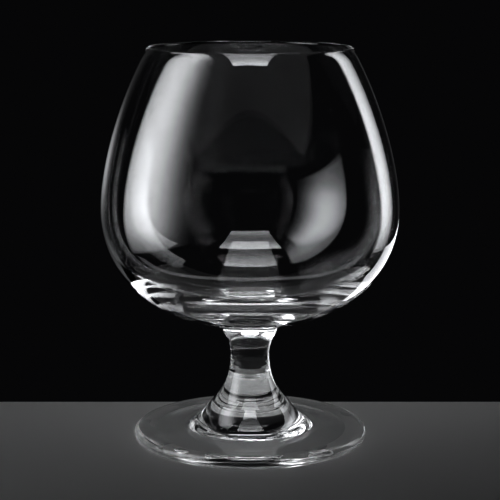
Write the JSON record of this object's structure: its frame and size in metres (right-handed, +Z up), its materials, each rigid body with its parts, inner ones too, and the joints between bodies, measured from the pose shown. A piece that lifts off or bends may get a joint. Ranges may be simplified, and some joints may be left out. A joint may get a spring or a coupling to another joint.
{
  "type": "brandy snifter",
  "caption": "Clear brandy snifter: a wide blown bowl narrowing to its mouth, on a short waisted stem and a broad round foot.",
  "frame": {"origin": "centre of the foot's underside, on the plane that the glass stands on", "axes": "+Z up the middle of the glass; X and Y are any two directions across it, because it is round"},
  "size_m": [0.102, 0.102, 0.135],
  "materials": {
    "bowl_glass": "clear, fire polished, thin at the lip and thick at the base",
    "stem_glass": "clear, fire polished, with faint rings left from drawing",
    "foot_glass": "clear, fire polished, smooth rounded edge"
  },
  "bodies": {
    "root": {"bowl": "bowl_glass", "stem": "stem_glass", "foot": "foot_glass"}
  },
  "joints": []
}
